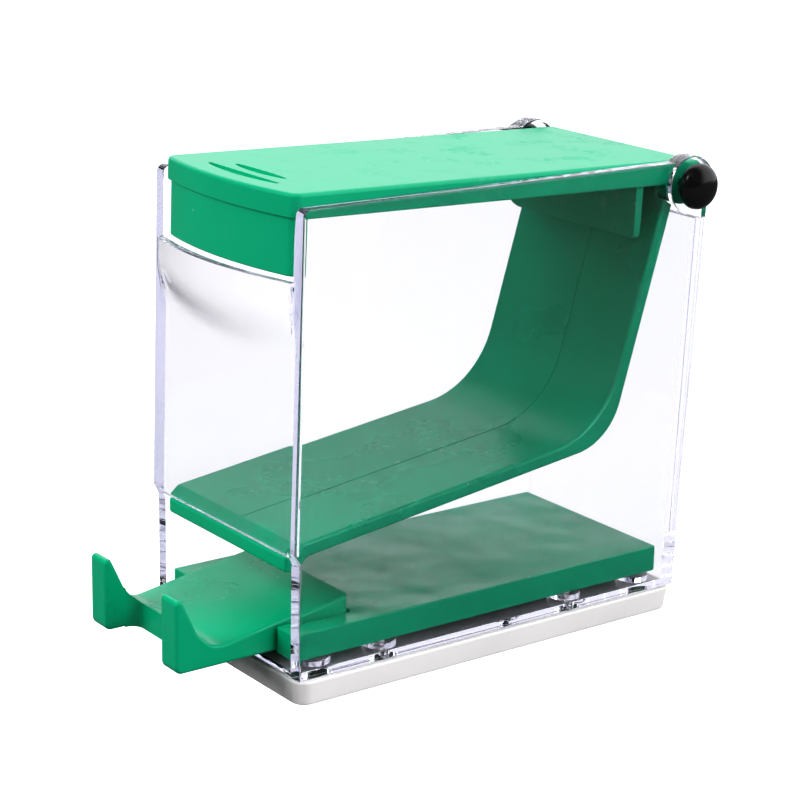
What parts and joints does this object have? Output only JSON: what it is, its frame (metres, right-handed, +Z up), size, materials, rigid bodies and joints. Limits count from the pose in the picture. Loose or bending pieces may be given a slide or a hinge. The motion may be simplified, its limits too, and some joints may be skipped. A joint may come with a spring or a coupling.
{
  "type": "dental cotton roll dispenser",
  "caption": "Press-type cotton roll dispenser: a clear box on a white base, with a hinged green lid, a swinging roll bed and a forked catch tray at the front.",
  "frame": {"origin": "centre of the overall box, on the surface that the feet stand on", "axes": "+X to the right when facing the back, +Y towards the hinge at the rear, +Z up; the fork points to -Y"},
  "size_m": [0.0624, 0.1218, 0.0999],
  "materials": {
    "green_plastic": "gloss",
    "clear_plastic": "clear gloss",
    "white_plastic": "satin",
    "black_plastic": "gloss",
    "grey_rubber": "matte",
    "steel": "satin"
  },
  "bodies": {
    "housing": {"clear_housing": "clear_plastic", "base_plate": "white_plastic", "foot_1": "grey_rubber", "foot_2": "grey_rubber", "foot_3": "grey_rubber", "foot_4": "grey_rubber", "base_screw_1": "steel", "base_screw_2": "steel", "base_screw_3": "steel", "base_screw_4": "steel", "base_tray": "green_plastic", "dispensing_fork": "green_plastic", "hinge_pin": "steel", "pin_cap_left": "black_plastic", "pin_cap_right": "black_plastic", "return_spring_left": "steel", "return_spring_right": "steel"},
    "bed": {"roll_bed": "green_plastic"},
    "lid": {"lid": "green_plastic"}
  },
  "joints": [
    {"name": "bed_swing", "type": "hinge", "parent": "housing", "child": "bed", "pos_m": [0, 0.05495, 0.0928], "axis": [1, 0, 0], "range_deg": [0, 6.5], "stiffness_Nm_per_rad": 0.15, "springref_deg": -34.38, "deforming": ["return_spring_left", "return_spring_right"]},
    {"name": "lid_hinge", "type": "hinge", "parent": "bed", "child": "lid", "pos_m": [0, 0.05495, 0.0928], "axis": [-1, 0, 0], "range_deg": [0, 100]}
  ]
}
